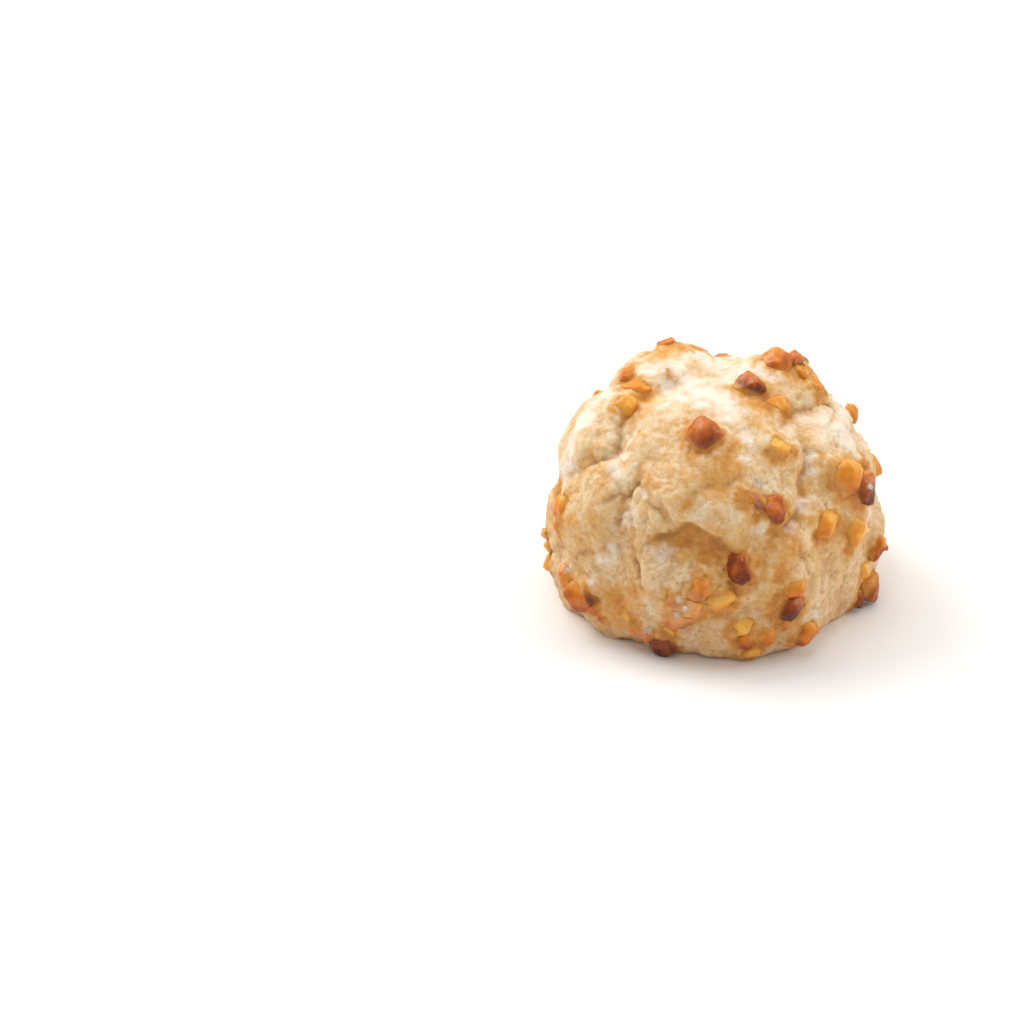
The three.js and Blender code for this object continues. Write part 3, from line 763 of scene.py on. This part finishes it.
# White where sugar lies, and at the rims as painted rim light.
dust_and_rim_light = add(tree, "ShaderNodeMapRange", {
    "Value": heaped.outputs[0], "From Min": 0.86, "From Max": 1.50, "To Max": 0.82},
    interpolation_type="SMOOTHSTEP")
sugared_and_rim_lit = add(tree, "ShaderNodeMix", {
    0: dust_and_rim_light.outputs["Result"], 6: crack_shaded.outputs[2], 7: WHITE}, data_type="RGBA")
relief_height = add(tree, "ShaderNodeMath", {
    0: grain.outputs["Fac"], 1: mottle.outputs["Fac"]}, operation="ADD")
relief = add(tree, "ShaderNodeBump", {
    "Height": relief_height.outputs[0], "Strength": 0.4, "Distance": 0.25 * MM})
shader = add(tree, "ShaderNodeBsdfPrincipled", {
    "Base Color": sugared_and_rim_lit.outputs[2],
    "Normal": relief.outputs["Normal"],
    "Roughness": 0.72,
    "IOR": 1.42,
    "Subsurface Weight": 0.12,
    "Subsurface Radius": (1.0, 0.6, 0.35),
    "Subsurface Scale": 1.0 * MM,
})
tree.links.new(shader.outputs["BSDF"], output.inputs["Surface"])
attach(crust, "root")
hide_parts("bun")

# Sugar: fine white sugar strewn over the bun before it was baked. It lies in single grains and in small
# heaps, stuck to the skin and to the nuts.
GRAIN_SIZES = (0.06 * MM, 0.15 * MM)
GRAINS_IN_HEAP = 180
CLUMPS_IN_HEAP = 5
LOOSE_GRAINS = 500
FIRST_HEAP_SEED = 1000
FIRST_LOOSE_SEED = 5000
FIRST_CLUMP_SEED = 9000
HEAP_SEEDS = 200
CLUMP_SEEDS = 10
GRAIN_SPREAD = 0.6
CLUMP_SPREAD = 0.5
LOOSE_SPREAD = 0.1
GRAIN_STANDING = 0.2
# Each heap: pixel of the middle and radius in mm.
SUGAR_HEAPS = [
    (667, 383, 1.5), (757, 373, 1.4), (728, 414, 1.5), (765, 441, 0.8), (810, 456, 1.1),
    (808, 471, 0.7), (836, 430, 1.8), (613, 471, 1.3), (634, 465, 0.7), (567, 469, 1.4),
    (567, 569, 0.9), (646, 629, 1.2), (649, 608, 0.9), (814, 612, 1.0), (755, 484, 1.0),
    (702, 357, 1.8), (677, 598, 0.8), (684, 607, 0.7), (675, 614, 0.8), (868, 487, 0.7),
]


def seat_on_bun(origin, towards):
    """Place and normal of the first skin or nut that a ray meets, or nothing."""
    hits = [piece.ray_cast(origin, towards) for piece in (crust, chopped_nuts)]
    seats = [(place, normal) for hit, place, normal, _ in hits if hit]
    return min(seats, key=lambda seat: (seat[0] - origin).length, default=None)


grain_seats = []
turned = Matrix.Rotation(math.radians(BACK_TURN), 4, "Z")
for heap, (x, y, radius) in enumerate(SUGAR_HEAPS):
    for grain in range(GRAINS_IN_HEAP):
        seed = FIRST_HEAP_SEED + HEAP_SEEDS * heap + grain
        clump = FIRST_CLUMP_SEED + CLUMP_SEEDS * heap + grain % CLUMPS_IN_HEAP
        off = GRAIN_SPREAD * radius * math.sqrt(-math.log(1 - 0.98 * draw(seed + 0.3)))
        angle = math.tau * draw(seed + 0.6)
        shift = CLUMP_SPREAD * radius * draw(clump + 0.3)
        shift_angle = math.tau * draw(clump + 0.6)
        across = (x - CORE_PIXEL[0]) / PIXELS_PER_MM + off * math.cos(angle) + shift * math.cos(shift_angle)
        rise = (CORE_PIXEL[1] - y) / PIXELS_PER_MM + off * math.sin(angle) + shift * math.sin(shift_angle)
        origin = CORE_CENTRE + (VIEW_RIGHT * across + VIEW_UP * rise) * MM + TO_VIEWER * 4 * CORE_RADIUS
        grain_seats.append((seat_on_bun(origin, -TO_VIEWER), seed))
        back_way = turned.to_3x3() @ -TO_VIEWER
        grain_seats.append((seat_on_bun(turned @ origin, back_way), seed + 0.1))
for grain in range(LOOSE_GRAINS):
    seed = FIRST_LOOSE_SEED + grain
    out = way(grain * GOLDEN_TURN, math.degrees(math.asin(1 - 1.1 * (grain + 0.5) / LOOSE_GRAINS)))
    out = (out + LOOSE_SPREAD * draw_way(seed + 0.2, seed + 0.4)).normalized()
    grain_seats.append((seat_on_bun(CORE_CENTRE + out * 2 * CORE_RADIUS, -out), seed))
bpy.ops.object.select_all(action="DESELECT")
bpy.ops.mesh.primitive_ico_sphere_add(subdivisions=1, radius=0.5)
sugar_grains = bpy.context.object
sugar_grains.name = "sugar_grains"
one_grain = skin_points(sugar_grains)
one_grain_faces = np.array([list(face.vertices) for face in sugar_grains.data.polygons])
grain_points = []
grain_faces = []
for seat, seed in grain_seats:
    if seat:
        place, normal = seat
        size = draw_between(seed + 0.5, *GRAIN_SIZES)
        spin = Matrix.Rotation(math.tau * draw(seed + 0.7), 3, draw_way(seed + 0.8, seed + 0.9))
        stretch = np.array([draw_between(seed + part, 0.7, 1.2) for part in (0.15, 0.35, 0.55)])
        shaped = (one_grain * stretch * size) @ np.array(spin)
        grain_faces.append(one_grain_faces + len(grain_points) * len(one_grain))
        grain_points.append(shaped + np.array(place + normal * GRAIN_STANDING * size))
sugar_grains.data.clear_geometry()
all_points = np.concatenate(grain_points).tolist()
sugar_grains.data.from_pydata(all_points, [], np.concatenate(grain_faces).tolist())
sugar_grains.data.update()

# White sugar: clear small crystals that scatter all light, with tiny glints.
tree, output, _ = new_material(sugar_grains, "white_sugar")
shader = add(tree, "ShaderNodeBsdfPrincipled", {
    "Base Color": linear("#fcf3e4"), "Roughness": 0.6, "IOR": 1.54, "Subsurface Weight": 0.3,
    "Subsurface Scale": 0.3 * MM})
tree.links.new(shader.outputs["BSDF"], output.inputs["Surface"])
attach(sugar_grains, "root")

# Studio: a flat pale card in a white room, lit by a large soft panel above and behind the bun, by one on
# each side and by a small one in front, for glints.
FLOOR_WIDTH = 6
ROOM_LIGHT = 0.41
bpy.ops.object.select_all(action="DESELECT")
bpy.ops.mesh.primitive_plane_add(size=FLOOR_WIDTH)
floor = bpy.context.object
floor.name = "floor"
tree, output, _ = new_material(floor, "white_card")
shader = add(tree, "ShaderNodeBsdfPrincipled", {
    "Base Color": linear("#f6f5f3"), "Roughness": 0.9, "Specular IOR Level": 0.1})
tree.links.new(shader.outputs["BSDF"], output.inputs["Surface"])


def panel(name, azimuth, elevation, distance, width, watts):
    """A square soft light at a direction and distance from the bun, turned towards it."""
    light = bpy.data.lights.new(name, "AREA")
    light.size = width
    light.energy = watts
    lamp = bpy.data.objects.new(name, light)
    bpy.context.collection.objects.link(lamp)
    lamp.location = CORE_CENTRE + way(azimuth, elevation) * distance
    lamp.rotation_euler = way(azimuth, elevation).to_track_quat("Z", "Y").to_euler()


panel("top_panel", azimuth=-165, elevation=69, distance=1.4, width=1.8, watts=14.0)
panel("right_panel", azimuth=92, elevation=30, distance=1.2, width=0.8, watts=5.0)
panel("left_panel", azimuth=-118, elevation=44, distance=1.2, width=0.8, watts=7.4)
panel("spark_panel", azimuth=-15, elevation=62, distance=1.0, width=0.12, watts=0.6)
room = bpy.data.worlds.new("white_room")
room.use_nodes = True
walls = room.node_tree.nodes["Background"]
walls.inputs["Color"].default_value = (1, 1, 1, 1)
walls.inputs["Strength"].default_value = ROOM_LIGHT
bpy.context.scene.world = room
bpy.context.scene.view_settings.view_transform = "Standard"

# Camera: a long lens far off, so that the bun is seen almost without perspective.
FRAME_PIXELS = 1024
CAMERA_DISTANCE = 3.0
SENSOR = 36
camera_data = bpy.data.cameras.new("camera")
camera = bpy.data.objects.new("camera", camera_data)
bpy.context.collection.objects.link(camera)
frame_width = FRAME_PIXELS / PIXELS_PER_MM * MM
camera_data.sensor_width = SENSOR
camera_data.lens = SENSOR * CAMERA_DISTANCE / frame_width
aim = aim_at_pixel(FRAME_PIXELS / 2, FRAME_PIXELS / 2)
camera.location = aim + TO_VIEWER * CAMERA_DISTANCE
camera.rotation_euler = TO_VIEWER.to_track_quat("Z", "Y").to_euler()
camera_data.clip_end = 10
bpy.context.scene.camera = camera
